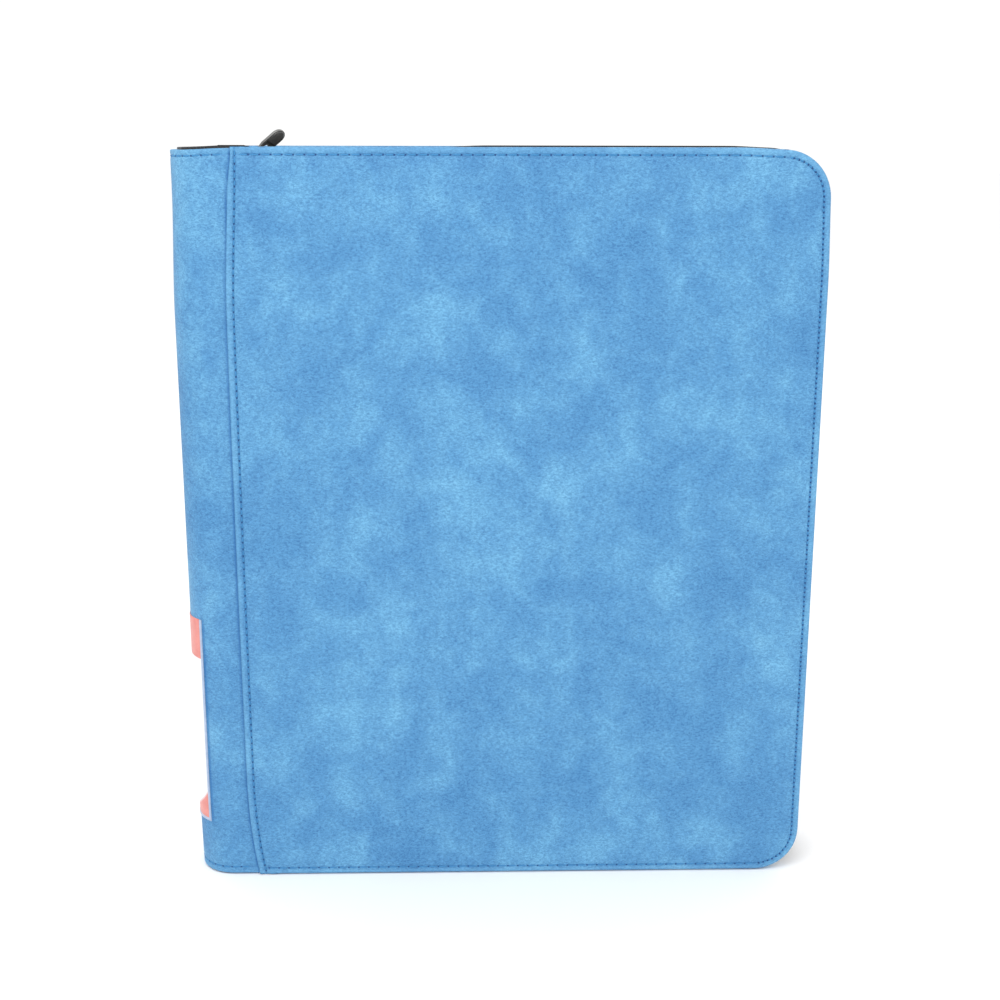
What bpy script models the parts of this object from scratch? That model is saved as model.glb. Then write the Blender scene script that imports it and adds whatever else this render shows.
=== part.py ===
"""Zip-up trading card binder, standing upright on its bottom edge.

Metres, +Z up. The front cover faces -Y, the spine is at -X and the fore-edge at +X.
"""

import math

import bmesh
import bpy

# Overall size
HEIGHT = 0.345
THICKNESS = 0.042
COVER_WIDTH = 0.2625  # spine seam to fore-edge
SPINE_REACH = 0.0295  # spine seam to the outside of the spine
CORNER_R = 0.021
CORNER_STEPS = 14
GAP = 0.0003  # between pieces that touch

# Cover sandwich, from the outer face inwards
SKIN = 0.0012
PADDING = 0.0016
BOARD = 0.0020
LINING = 0.0008
LINING_INSET = 0.0002
BOARD_REACH = 0.0145  # past the spine seam, inside the strip
LINING_REACH = 0.0175
EDGE_INSET = SKIN + GAP
PADDING_AT = SKIN + GAP
BOARD_AT = PADDING_AT + PADDING + GAP
LINING_AT = BOARD_AT + BOARD + GAP
COVER_DEPTH = LINING_AT + LINING

# Spine strip: a rounded C that runs under both cover skins
STRIP_DEPTH = SKIN + GAP  # the strip's face below the cover's face
SPINE_R = 0.0175
UNDERLAP = 0.006
SKIN_LAP = 0.0019  # folded edge of the cover skin, left of its seam
CREASE_AT = 0.0222  # along the strip from the front seam to its crease
STIFFENER = 0.0016
STIFFENER_AT = SKIN + GAP
SPINE_LINING_AT = STIFFENER_AT + STIFFENER + GAP

# Label on the spine
LABEL_CARD = 0.0003
LABEL_MARGIN = 0.0004  # from the crease
LABEL_LOW = 0.0266
LABEL_HIGH = 0.1294

# Stitching
STITCH_INSET = 0.0036
GROOVE_WIDTH = 0.0010
GROOVE_DEPTH = 0.0009
THREAD_WIDTH = 0.0004
THREAD_DEPTH = 0.00035

# Leaves
LEAVES = 20
LEAF_PITCH = 0.0011
BINDING_X = 0.0081  # from the outside of the spine
BINDING = 0.0008
BINDING_HALF = 0.0109
BINDING_LOW = 0.017
ROOT_HALF = 0.00015
SHEET_HALF = 0.00025
POCKET_HALF = 0.0004
ROOT_MARGIN = 0.015
ROOT_TAPER = 0.001
POCKET_WIDTH = 0.070
POCKET_HEIGHT = 0.095
WELD = 0.004
WELD_FIRST = 0.002
LEAF_MARGIN = 0.008

# Zip
TAPE = 0.0006
TAPE_INSET = 0.0004
TAPE_RECESS = 0.0065
TAPE_EDGE_Y = 0.0033
COIL_IN = 0.00055
COIL_OUT = 0.0030
COIL_HALF = 0.0005
ZIP_BACK = 0.008  # the tape starts this far on the spine side of the seam
STOP_AT = 0.0015
STOP_LENGTH = 0.0028
SLIDER_AT = 0.0107
SLIDER_LENGTH = 0.012
SLIDER_WIDTH = 0.010
SLIDER_PLATE = 0.0010
SLIDER_GAP = 0.0022
SLIDER_LIP = 0.0004
SLIDER_LIP_WIDTH = 0.0006
WEB_HALF = 0.00025
CROWN_HALF_WIDTH = 0.0007
PULL_PIVOT_RISE = 0.0040  # above the middle of the teeth
PULL_ANGLE = 44.0
PULL_TWIST = 31.0
PULL_LENGTH = 0.0141
PULL_WIDTH = 0.0076
PULL_THICK = 0.0012
EYE_LENGTH = 0.0056
EYE_HALF = 0.0015
PIN_R = 0.0005

# Places that follow from the sizes
PROUD = GAP + LABEL_CARD
X_FORE = (COVER_WIDTH + SPINE_REACH + PROUD) / 2
X_SEAM = X_FORE - COVER_WIDTH
X_SPINE = X_SEAM - SPINE_REACH
HALF = THICKNESS / 2
Y_STRIP = HALF - STRIP_DEPTH
Y_ARC = Y_STRIP - SPINE_R
X_ARC = X_SPINE + SPINE_R
FLAT_RUN = X_SEAM - X_ARC
ARC_RUN = SPINE_R * math.pi / 2
STRIP_RUN = 2 * (FLAT_RUN + ARC_RUN + Y_ARC)
LABEL_WIDTH = STRIP_RUN - 2 * (CREASE_AT + LABEL_MARGIN)
ZIP_Z = HEIGHT - TAPE_RECESS - TAPE / 2
INNER_Y = HALF - COVER_DEPTH
LEAF_ROOT_X = X_SPINE + BINDING_X + BINDING + GAP


def material(name, color, roughness, metallic=0.0):
    made = bpy.data.materials.new(name)
    made.use_nodes = True
    shader = made.node_tree.nodes["Principled BSDF"]
    shader.inputs["Base Color"].default_value = (*color, 1.0)
    shader.inputs["Roughness"].default_value = roughness
    shader.inputs["Metallic"].default_value = metallic
    made.diffuse_color = (*color, 1.0)
    return made


def finish(name, shape, look, smooth=False, merge=False):
    if merge:
        bmesh.ops.remove_doubles(shape, verts=shape.verts, dist=1e-7)
    bmesh.ops.recalc_face_normals(shape, faces=shape.faces)
    mesh = bpy.data.meshes.new(name)
    shape.to_mesh(mesh)
    shape.free()
    if smooth:
        mesh.shade_smooth()
    made = bpy.data.objects.new(name, mesh)
    made.data.materials.append(look)
    bpy.context.scene.collection.objects.link(made)
    return made


def loft(name, rings, look, smooth=False, merge=False):
    """A closed body through rings of equal length, with a cap at each end."""
    shape = bmesh.new()
    rows = [[shape.verts.new(point) for point in ring] for ring in rings]
    count = len(rings[0])
    for first, second in zip(rows, rows[1:]):
        for k in range(count):
            n = (k + 1) % count
            shape.faces.new((first[k], first[n], second[n], second[k]))
    shape.faces.new(rows[0])
    shape.faces.new(rows[-1])
    return finish(name, shape, look, smooth, merge)


def box(name, low, high, look):
    rings = []
    for z in (low[2], high[2]):
        rings.append([(low[0], low[1], z), (high[0], low[1], z), (high[0], high[1], z), (low[0], high[1], z)])
    return loft(name, rings, look)


def edge_path(x_start):
    """Stations round the top, the fore-edge and the bottom: a point and its inward direction."""
    stations = [((x_start, HEIGHT), (0.0, -1.0))]
    for centre_z, first in ((HEIGHT - CORNER_R, 90.0), (CORNER_R, 0.0)):
        for k in range(CORNER_STEPS + 1):
            angle = math.radians(first - 90.0 * k / CORNER_STEPS)
            out = (math.cos(angle), math.sin(angle))
            x = X_FORE - CORNER_R + CORNER_R * out[0]
            stations.append(((x, centre_z + CORNER_R * out[1]), (-out[0], -out[1])))
    stations.append(((x_start, 0.0), (0.0, 1.0)))
    return stations


def at_edge(station, inset, y):
    (x, z), (nx, nz) = station
    return (x + nx * inset, y, z + nz * inset)


def cover_y(side, depth):
    return side * (HALF - depth)


def cover_layer(name, section, x_start, side, look):
    """One layer of a cover. The section lists (inset, depth) from its outer face to its inner one."""
    shape = bmesh.new()
    rows = []
    for station in edge_path(x_start):
        rows.append([shape.verts.new(at_edge(station, inset, cover_y(side, depth))) for inset, depth in section])
    for first, second in zip(rows, rows[1:]):
        for k in range(len(section) - 1):
            shape.faces.new((first[k], second[k], second[k + 1], first[k + 1]))
    shape.faces.new([row[0] for row in rows])
    shape.faces.new([row[-1] for row in rows])
    shape.faces.new(rows[0] + rows[-1][::-1])
    return finish(name, shape, look)


def cover_skin(name, x_flap, x_rim, side, look):
    """Outer skin: a plate with a rim turned in round its three free edges, and a flap over the spine strip."""
    rim = BOARD_AT + BOARD
    face = [(0.0009, 0.0), (0.00035, 0.00022), (0.0, 0.0009), (0.0, SKIN)]
    turned = face + [(0.0, rim), (SKIN, rim), (SKIN, SKIN)]
    flat = face + [(0.0, SKIN)] * 3
    path = edge_path(x_rim)
    flap = edge_path(x_flap)
    stations = [(flap[0], flat), (path[0], flat)]
    stations += [(station, turned) for station in path]
    stations += [(path[-1], flat), (flap[-1], flat)]
    shape = bmesh.new()
    rows = []
    for station, section in stations:
        rows.append([shape.verts.new(at_edge(station, inset, cover_y(side, depth))) for inset, depth in section])
    for first, second in zip(rows, rows[1:]):
        for k in range(len(turned) - 1):
            shape.faces.new((first[k], second[k], second[k + 1], first[k + 1]))
    shape.faces.new([row[0] for row in rows])
    shape.faces.new([row[-1] for row in rows])
    shape.faces.new(rows[0] + rows[-1][::-1])
    return finish(name, shape, look, merge=True)


def edge_band(name, section, x_start, side, look):
    """A closed section of (inset, y) swept round the top, the fore-edge and the bottom."""
    rings = [[at_edge(station, inset, side * y) for inset, y in section] for station in edge_path(x_start)]
    return loft(name, rings, look)


def strip_frame(run):
    """Outer point and inward direction on the strip, run metres round the spine from the front seam."""
    if run > STRIP_RUN / 2:
        (x, y), (nx, ny) = strip_frame(STRIP_RUN - run)
        return (x, -y), (nx, -ny)
    if run <= FLAT_RUN:
        return (X_SEAM - run, -Y_STRIP), (0.0, 1.0)
    if run <= FLAT_RUN + ARC_RUN:
        angle = (run - FLAT_RUN) / SPINE_R
        out = (-math.sin(angle), -math.cos(angle))
        return (X_ARC + SPINE_R * out[0], -Y_ARC + SPINE_R * out[1]), (-out[0], -out[1])
    return (X_SPINE, -Y_ARC + run - FLAT_RUN - ARC_RUN), (1.0, 0.0)


def strip_point(run, depth):
    (x, y), (nx, ny) = strip_frame(run)
    return (x + nx * depth, y + ny * depth)


def strip_runs(low, high):
    """Places along the strip from low to high, close together on the two bends."""
    runs = [low, high]
    step = ARC_RUN / 14
    for start in (FLAT_RUN, STRIP_RUN - FLAT_RUN - ARC_RUN):
        for k in range(15):
            run = start + step * k
            if low + step / 3 < run < high - step / 3:
                runs.append(run)
    return sorted(runs)


def strip_piece(name, low, high, outer, inner, levels, look):
    """A piece of the strip between two runs and two depths. Levels lists (z, extra depth of its face)."""
    runs = strip_runs(low, high)
    rings = []
    for z, extra in levels:
        face = [(*strip_point(run, outer + extra), z) for run in runs]
        back = [(*strip_point(run, inner), z) for run in reversed(runs)]
        rings.append(face + back)
    return loft(name, rings, look, merge=True)


def hem_levels():
    """Levels from bottom to top with a stitch groove near each end."""
    half = GROOVE_WIDTH / 2
    levels = [(0.0, 0.0)]
    for middle in (STITCH_INSET, HEIGHT - STITCH_INSET):
        levels.append((middle - half, 0.0))
        levels.append((middle - half, GROOVE_DEPTH))
        levels.append((middle + half, GROOVE_DEPTH))
        levels.append((middle + half, 0.0))
    levels.append((HEIGHT, 0.0))
    return levels


def hem_thread(name, low, high, middle, look):
    half = THREAD_WIDTH / 2
    floor = GROOVE_DEPTH - GAP
    levels = [(middle - half, 0.0), (middle + half, 0.0)]
    return strip_piece(name, low, high, floor - THREAD_DEPTH, floor, levels, look)


def cut(thing, cutter):
    cutter.hide_render = True
    cutter.display_type = "WIRE"
    modifier = thing.modifiers.new("groove_" + cutter.name, "BOOLEAN")
    modifier.operation = "DIFFERENCE"
    modifier.solver = "EXACT"
    modifier.object = cutter


def cover(side, word, looks):
    """Skin, padding, board, lining, spine strip and threads of one cover. Side -1 is the front."""
    skin_x = X_SEAM - SKIN_LAP
    pad_x = X_SEAM + UNDERLAP + GAP
    skin = cover_skin("cover_skin_" + word, skin_x, pad_x, side, looks["leather"])
    section = [(EDGE_INSET, PADDING_AT), (EDGE_INSET, PADDING_AT + PADDING)]
    cover_layer("padding_" + word, section, pad_x, side, looks["foam"])
    section = [(EDGE_INSET, BOARD_AT), (EDGE_INSET, BOARD_AT + BOARD)]
    cover_layer("board_" + word, section, X_SEAM - BOARD_REACH, side, looks["board"])
    section = [(LINING_INSET, LINING_AT), (LINING_INSET, COVER_DEPTH)]
    cover_layer("lining_" + word, section, X_SEAM - LINING_REACH, side, looks["lining"])

    half = GROOVE_WIDTH / 2
    middle = STITCH_INSET
    out_y = HALF + 0.001
    floor_y = HALF - GROOVE_DEPTH
    ring = [(middle - half, out_y), (middle + half, out_y), (middle + half, floor_y), (middle - half, floor_y)]
    edge_x = X_SEAM + 0.0012
    cut(skin, edge_band("edge_groove_" + word, ring, edge_x, side, looks["leather"]))
    low_y, high_y = sorted((side * floor_y, side * out_y))
    low = (X_SEAM - half, low_y, 0.0012)
    high = (X_SEAM + half, high_y, HEIGHT - 0.0012)
    cut(skin, box("seam_groove_" + word, low, high, looks["leather"]))

    half = THREAD_WIDTH / 2
    face_y = floor_y + GAP + THREAD_DEPTH
    base_y = floor_y + GAP
    ring = [(middle - half, face_y), (middle + half, face_y), (middle + half, base_y), (middle - half, base_y)]
    edge_band("edge_thread_" + word, ring, edge_x + GAP, side, looks["thread"])
    low_y, high_y = sorted((side * base_y, side * face_y))
    low = (X_SEAM - half, low_y, 0.0012 + GAP)
    high = (X_SEAM + half, high_y, HEIGHT - 0.0012 - GAP)
    box("seam_thread_" + word, low, high, looks["thread"])

    ends = [-UNDERLAP, CREASE_AT - GAP / 2]
    hem = [SKIN_LAP + 2 * GAP, CREASE_AT - GAP]
    if side > 0:
        ends = [STRIP_RUN - run for run in reversed(ends)]
        hem = [STRIP_RUN - run for run in reversed(hem)]
    strip_piece("spine_strip_" + word, *ends, 0.0, SKIN, hem_levels(), looks["leather"])
    hem_thread(f"hem_thread_{word}_bottom", *hem, STITCH_INSET, looks["thread"])
    hem_thread(f"hem_thread_{word}_top", *hem, HEIGHT - STITCH_INSET, looks["thread"])


def spine(looks):
    low = CREASE_AT + GAP / 2
    high = STRIP_RUN - low
    strip_piece("spine_skin", low, high, 0.0, SKIN, hem_levels(), looks["leather"])
    for word, middle in (("bottom", STITCH_INSET), ("top", HEIGHT - STITCH_INSET)):
        hem_thread("hem_thread_spine_" + word, low + GAP / 2, high - GAP / 2, middle, looks["thread"])
    levels = [(0.004, 0.0), (HEIGHT - 0.004, 0.0)]
    deep = STIFFENER_AT + STIFFENER
    strip_piece("spine_stiffener", low + 0.003, high - 0.003, STIFFENER_AT, deep, levels, looks["board"])
    levels = [(0.0004, 0.0), (HEIGHT - 0.0004, 0.0)]
    deep = SPINE_LINING_AT + LINING
    strip_piece("spine_lining", low + 0.0006, high - 0.0006, SPINE_LINING_AT, deep, levels, looks["lining"])
    first = STRIP_RUN / 2 - LABEL_WIDTH / 2
    levels = [(LABEL_LOW, 0.0), (LABEL_HIGH, 0.0)]
    strip_piece("spine_label", first, first + LABEL_WIDTH, -PROUD, -GAP, levels, looks["label"])
    low = (X_SPINE + BINDING_X, -BINDING_HALF, BINDING_LOW)
    high = (X_SPINE + BINDING_X + BINDING, BINDING_HALF, HEIGHT - BINDING_LOW)
    box("leaf_binding", low, high, looks["binding"])


def leaf_stops(first, size):
    """Edges of three pockets in a row, starting at first, with a weld between each two."""
    stops = []
    for k in range(3):
        start = first + k * (size + WELD)
        stops += [start, start + size]
    return stops


def leaf(number, look):
    """One nine-pocket leaf: a thin bound edge, a sheet with welds, and a raised pad for each pocket."""
    first = ROOT_MARGIN + ROOT_TAPER + WELD_FIRST
    xs = [0.0, ROOT_MARGIN, ROOT_MARGIN + ROOT_TAPER] + leaf_stops(first, POCKET_WIDTH)
    xs.append(xs[-1] + LEAF_MARGIN)
    zs = [0.0] + leaf_stops(LEAF_MARGIN, POCKET_HEIGHT)
    zs.append(zs[-1] + LEAF_MARGIN)
    low_z = (HEIGHT - zs[-1]) / 2
    y = (number - (LEAVES + 1) / 2) * LEAF_PITCH
    shape = bmesh.new()
    known = {}

    def vertex(x, z, height):
        key = (round(x, 7), round(z, 7), round(height, 7))
        if key not in known:
            known[key] = shape.verts.new((x, height, z + low_z))
        return known[key]

    def sheet(x):
        return ROOT_HALF if x <= ROOT_MARGIN + 1e-9 else SHEET_HALF

    def corner(x_inner, z_inner, z_sign):
        steps = 6
        points = []
        for k in range(1, steps):
            angle = math.pi / 2 * k / steps
            points.append((x_inner + LEAF_MARGIN * math.cos(angle), z_inner + z_sign * LEAF_MARGIN * math.sin(angle)))
        return points

    last_x, last_z = len(xs) - 2, len(zs) - 2
    for i in range(len(xs) - 1):
        for k in range(len(zs) - 1):
            a, b, c, d = xs[i], xs[i + 1], zs[k], zs[k + 1]
            outline = [(a, c), (b, c), (b, d), (a, d)]
            if i == last_x and k == last_z:
                outline = [(a, c), (b, c)] + corner(a, c, 1) + [(a, d)]
            if i == last_x and k == 0:
                outline = [(a, c)] + corner(a, d, -1)[::-1] + [(b, d), (a, d)]
            raised = i >= 3 and i % 2 == 1 and k % 2 == 1 and i < last_x
            for sign in (1, -1):
                if raised:
                    top = [vertex(px, pz, sign * POCKET_HALF) for px, pz in outline]
                    base = [vertex(px, pz, sign * SHEET_HALF) for px, pz in outline]
                    shape.faces.new(top)
                    for m in range(4):
                        n = (m + 1) % 4
                        shape.faces.new((top[m], top[n], base[n], base[m]))
                else:
                    shape.faces.new([vertex(px, pz, sign * sheet(px)) for px, pz in outline])
            edges = []
            count = len(outline)
            for m in range(count):
                (px, pz), (qx, qz) = outline[m], outline[(m + 1) % count]
                inside = (px == qx and px not in (xs[0], xs[-1])) or (pz == qz and pz not in (zs[0], zs[-1]))
                if not inside:
                    edges.append((px, pz, qx, qz))
            for px, pz, qx, qz in edges:
                ps, qs = sheet(px), sheet(qx)
                shape.faces.new((vertex(px, pz, ps), vertex(qx, qz, qs), vertex(qx, qz, -qs), vertex(px, pz, -ps)))
    made = finish(f"leaf_{number:02d}", shape, look)
    made.location = (LEAF_ROOT_X, y, 0.0)
    return made


def zipper(looks):
    start = X_SEAM - ZIP_BACK
    flange_y = INNER_Y - GAP
    deep = TAPE_RECESS + TAPE
    tape = [
        (TAPE_INSET, flange_y),
        (TAPE_INSET, flange_y - TAPE),
        (TAPE_RECESS, flange_y - TAPE),
        (TAPE_RECESS, TAPE_EDGE_Y),
        (deep, TAPE_EDGE_Y),
        (deep, flange_y),
    ]
    middle = TAPE_RECESS + TAPE / 2
    low, high = middle - COIL_HALF, middle + COIL_HALF
    coil = [(low, COIL_IN), (low, COIL_OUT), (high, COIL_OUT), (high, COIL_IN)]
    coil_x = X_SEAM + STOP_AT + STOP_LENGTH + GAP
    for side, word in ((-1, "front"), (1, "back")):
        edge_band("zip_tape_" + word, tape, start, side, looks["tape"])
        edge_band("zip_coil_" + word, coil, coil_x, side, looks["coil"])
        near, far = sorted((side * COIL_IN, side * COIL_OUT))
        low_point = (X_SEAM + STOP_AT, near, ZIP_Z - 0.0008)
        high_point = (X_SEAM + STOP_AT + STOP_LENGTH, far, ZIP_Z + 0.0008)
        box("zip_top_stop_" + word, low_point, high_point, looks["metal"])
    bottom_z = HEIGHT - ZIP_Z
    low_point = (X_SEAM + STOP_AT, -COIL_OUT, bottom_z - 0.0008)
    high_point = (X_SEAM + STOP_AT + STOP_LENGTH, COIL_OUT, bottom_z + 0.0008)
    box("zip_bottom_stop", low_point, high_point, looks["metal"])


def slider(look):
    """Two plates joined by a thin web, lips at both sides, and an arched crown for the pull."""
    x = X_SEAM + SLIDER_AT
    half_l, half_w = SLIDER_LENGTH / 2, SLIDER_WIDTH / 2
    inner = SLIDER_GAP / 2
    outer = inner + SLIDER_PLATE
    lip = half_w - SLIDER_LIP_WIDTH
    lip_z = inner - SLIDER_LIP
    nose = half_w * 0.72
    section = [
        (-half_w, -outer + 0.0003), (-half_w + 0.0003, -outer), (half_w - 0.0003, -outer),
        (half_w, -outer + 0.0003), (half_w, -lip_z), (lip, -lip_z), (lip, -inner),
        (WEB_HALF, -inner), (WEB_HALF, inner), (lip, inner), (lip, lip_z), (half_w, lip_z),
        (half_w, outer - 0.0003), (half_w - 0.0003, outer), (-half_w + 0.0003, outer),
        (-half_w, outer - 0.0003), (-half_w, lip_z), (-lip, lip_z), (-lip, inner),
        (-WEB_HALF, inner), (-WEB_HALF, -inner), (-lip, -inner), (-lip, -lip_z), (-half_w, -lip_z),
    ]
    rings = []
    for place, factor in ((-half_l, nose / half_w), (-half_l * 0.45, 1.0), (half_l * 0.45, 1.0), (half_l, nose / half_w)):
        ring = []
        for y, z in section:
            wide = y if abs(y) <= WEB_HALF else y * factor
            ring.append((x + place, wide, ZIP_Z + z))
        rings.append(ring)
    body = loft("zip_slider", rings, look)
    top = outer - 0.0002
    rise = PULL_PIVOT_RISE
    outline = [(-0.0045, top), (-0.0042, rise + 0.0012), (-0.0032, rise + 0.0023), (0.0032, rise + 0.0023),
               (0.0042, rise + 0.0012), (0.0045, top), (0.0033, top), (0.0031, rise + 0.0006),
               (0.0024, rise + 0.0013), (-0.0024, rise + 0.0013), (-0.0031, rise + 0.0006), (-0.0033, top)]
    rings = []
    for y in (-CROWN_HALF_WIDTH, CROWN_HALF_WIDTH):
        rings.append([(x + px, y, ZIP_Z + pz) for px, pz in outline])
    crown = loft("slider_crown_shape", rings, look)
    crown.hide_render = True
    crown.display_type = "WIRE"
    modifier = body.modifiers.new("crown", "BOOLEAN")
    modifier.operation = "UNION"
    modifier.solver = "EXACT"
    modifier.object = crown
    return body


def pull(look):
    """Flat tab with a rectangular eye whose pin passes under the slider's crown."""
    half_w, half_t = PULL_WIDTH / 2, PULL_THICK / 2
    end_r = half_w * 0.92
    rim = []
    for k in range(13):
        angle = -math.pi / 2 + math.pi * k / 12
        rim.append((PULL_LENGTH - end_r + end_r * math.cos(angle), half_w * math.sin(angle)))
    outline = [(EYE_LENGTH - 0.0002, -half_w)] + rim + [(EYE_LENGTH - 0.0002, half_w)]
    eye_w = EYE_HALF + 0.0010
    outline += [(0.0046, eye_w), (-0.0006, eye_w), (-0.0006, EYE_HALF), (EYE_LENGTH - 0.0006, EYE_HALF),
                (EYE_LENGTH, EYE_HALF - 0.0006), (EYE_LENGTH, -EYE_HALF + 0.0006),
                (EYE_LENGTH - 0.0006, -EYE_HALF), (-0.0006, -EYE_HALF), (-0.0006, -eye_w), (0.0046, -eye_w)]
    lean, twist = math.radians(PULL_ANGLE), math.radians(PULL_TWIST)

    def place(along, across, lift):
        """Tab coordinates turned by the twist about its length, then leaned up from +X."""
        wide = across * math.cos(twist) + lift * math.sin(twist)
        high = -across * math.sin(twist) + lift * math.cos(twist)
        return (along * math.cos(lean) - high * math.sin(lean), wide, along * math.sin(lean) + high * math.cos(lean))

    rings = []
    for lift in (-half_t, half_t):
        rings.append([place(px, py, lift) for px, py in outline])
    tab = loft("zip_pull", rings, look)
    rings = []
    reach = EYE_HALF + 0.0004
    for across in (-reach, reach):
        ring = []
        for k in range(16):
            angle = 2 * math.pi * k / 16
            ring.append(place(PIN_R * math.cos(angle), across, PIN_R * math.sin(angle)))
        rings.append(ring)
    pin = loft("pull_pin_shape", rings, look)
    pivot = (X_SEAM + SLIDER_AT, 0.0, ZIP_Z + PULL_PIVOT_RISE)
    tab.location = pivot
    pin.location = pivot
    pin.hide_render = True
    pin.display_type = "WIRE"
    modifier = tab.modifiers.new("pin", "BOOLEAN")
    modifier.operation = "UNION"
    modifier.solver = "EXACT"
    modifier.object = pin
    return tab


def main():
    for thing in list(bpy.data.objects):
        bpy.data.objects.remove(thing, do_unlink=True)
    bpy.context.scene.unit_settings.system = "METRIC"
    bpy.context.scene.unit_settings.scale_length = 1.0
    looks = {
        "leather": material("sky_blue_leather", (0.13, 0.38, 0.72), 0.55),
        "foam": material("grey_foam", (0.35, 0.35, 0.36), 0.9),
        "board": material("grey_board", (0.42, 0.40, 0.37), 0.85),
        "lining": material("black_lining", (0.012, 0.012, 0.014), 0.75),
        "thread": material("blue_thread", (0.03, 0.17, 0.42), 0.6),
        "label": material("printed_label", (0.85, 0.42, 0.36), 0.5),
        "binding": material("black_binding", (0.015, 0.015, 0.016), 0.7),
        "leaf": material("pocket_leaf", (0.03, 0.03, 0.034), 0.3),
        "tape": material("black_zip_tape", (0.014, 0.014, 0.016), 0.85),
        "coil": material("black_zip_coil", (0.02, 0.02, 0.022), 0.45),
        "metal": material("gunmetal", (0.10, 0.10, 0.10), 0.35, 1.0),
    }
    cover(-1, "front", looks)
    cover(1, "back", looks)
    spine(looks)
    for number in range(1, LEAVES + 1):
        leaf(number, looks["leaf"])
    zipper(looks)
    slider(looks["metal"])
    pull(looks["metal"])


main()
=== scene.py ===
"""Looks of the zip-up trading card binder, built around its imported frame.

Metres, +Z up. The front cover faces -Y, the spine is at -X and the fore-edge at +X.
"""

import math

import bmesh
import bpy
from mathutils import Matrix, Vector, noise


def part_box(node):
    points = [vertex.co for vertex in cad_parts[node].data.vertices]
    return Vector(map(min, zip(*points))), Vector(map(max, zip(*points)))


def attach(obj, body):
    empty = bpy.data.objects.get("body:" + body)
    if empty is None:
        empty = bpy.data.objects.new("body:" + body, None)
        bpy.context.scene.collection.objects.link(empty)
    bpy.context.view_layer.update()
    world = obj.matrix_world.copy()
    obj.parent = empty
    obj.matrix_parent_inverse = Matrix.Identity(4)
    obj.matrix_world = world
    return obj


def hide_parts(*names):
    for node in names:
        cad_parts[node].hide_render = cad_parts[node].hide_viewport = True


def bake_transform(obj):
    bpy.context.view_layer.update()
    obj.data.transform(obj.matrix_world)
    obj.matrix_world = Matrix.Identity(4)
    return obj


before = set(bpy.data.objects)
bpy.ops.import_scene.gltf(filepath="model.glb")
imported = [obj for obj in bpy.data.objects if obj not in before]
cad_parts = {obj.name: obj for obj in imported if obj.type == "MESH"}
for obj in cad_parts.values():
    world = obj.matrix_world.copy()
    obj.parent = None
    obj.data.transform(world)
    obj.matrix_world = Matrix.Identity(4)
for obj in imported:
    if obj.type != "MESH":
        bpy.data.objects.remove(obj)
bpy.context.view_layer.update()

# Places read from the frame
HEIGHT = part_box("cover_skin_front")[1].z
X_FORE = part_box("cover_skin_front")[1].x
HALF = -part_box("cover_skin_front")[0].y
X_SEAM = (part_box("seam_thread_front")[0].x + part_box("seam_thread_front")[1].x) / 2
X_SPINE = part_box("spine_skin")[0].x
LABEL_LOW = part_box("spine_label")[0].z
LABEL_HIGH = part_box("spine_label")[1].z
ZIP_Z = (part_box("zip_top_stop_back")[0].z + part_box("zip_top_stop_back")[1].z) / 2
STOP_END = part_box("zip_bottom_stop")[1].x
SLIDER_X = (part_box("zip_slider")[0].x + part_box("zip_slider")[1].x) / 2
LEAF_LOW, LEAF_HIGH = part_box("leaf_10")

# Sizes that the frame's pieces share
CORNER_R = 0.021
CORNER_STEPS = 14
STRIP_DEPTH = 0.0015
SPINE_R = 0.0175
UNDERLAP = 0.006
CREASE_AT = 0.0222
STITCH_INSET = 0.0033
FRAME_GAP = 0.0003  # between neighbouring pieces of the frame
TAPE_RECESS = 0.0065
TAPE_THICK = 0.0006
TAPE_EDGE_Y = 0.0033
PIVOT_RISE = 0.0040  # the pull's pin above the middle of the teeth
COVER_INNER = 0.0054
LINING_AT = COVER_INNER + FRAME_GAP
LINING = 0.0008
INNER_Y = HALF - LINING_AT - LINING
SIDES = ((-1, "front", "front_cover"), (1, "back", "back_cover"))

# The strip round the spine
Y_STRIP = HALF - STRIP_DEPTH
Y_ARC = Y_STRIP - SPINE_R
X_ARC = X_SPINE + SPINE_R
FLAT_RUN = X_SEAM - X_ARC
ARC_RUN = SPINE_R * math.pi / 2
STRIP_RUN = 2 * (FLAT_RUN + ARC_RUN + Y_ARC)
STRIP_LOW = 0.0002
STRIP_HIGH = HEIGHT - 0.0006  # the strip stops short of the covers' top edge
STRIP_INNER = 0.0039  # depth of its inner face beside the seams
LINING_OUTER = 0.0031  # depth of the outer face of the lining behind it
CREASE_THINNER = 0.0013  # it has no board round its crease
BEND_REACH = 0.0045  # reach of the strip's bend on each side of its crease; the bend is not applied

# Leather
FOLD = 0.0032  # folded edge of the cover, left of its seam
FOLD_NARROWS = 0.0013  # at the top
FLAP = 0.0013  # thickness of the cover where it lies on the strip
EDGE_ROLL = 0.0015
FLAP_ROLL = 0.0006
DRIFT_LOW = 0.0042  # the seam runs out towards the cover at both ends
DRIFT_HIGH = 0.0029
BOW = 0.0006  # and a little towards the spine in the middle
PINCH_HIGH = 0.0016  # the spine is drawn in at both ends
PINCH_LOW = 0.0007
SAG = 0.0008  # the spine's top edge falls towards its middle
BULGE = 0.0011  # the fore-edge stands out below its top corner
DROOP = 0.0008  # the top edge falls off before its corner
WAVE = 0.00016
# Rolled edges are painted paler, partly as wear and partly as a painted highlight on their rounded rims.
WEAR_AND_HIGHLIGHT = 0.30  # how much paler the rolled edges are

# Label
BORDER = 0.0014  # width of its raised pale border
BOWL_R = 0.0174  # round lower end of its white part

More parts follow.
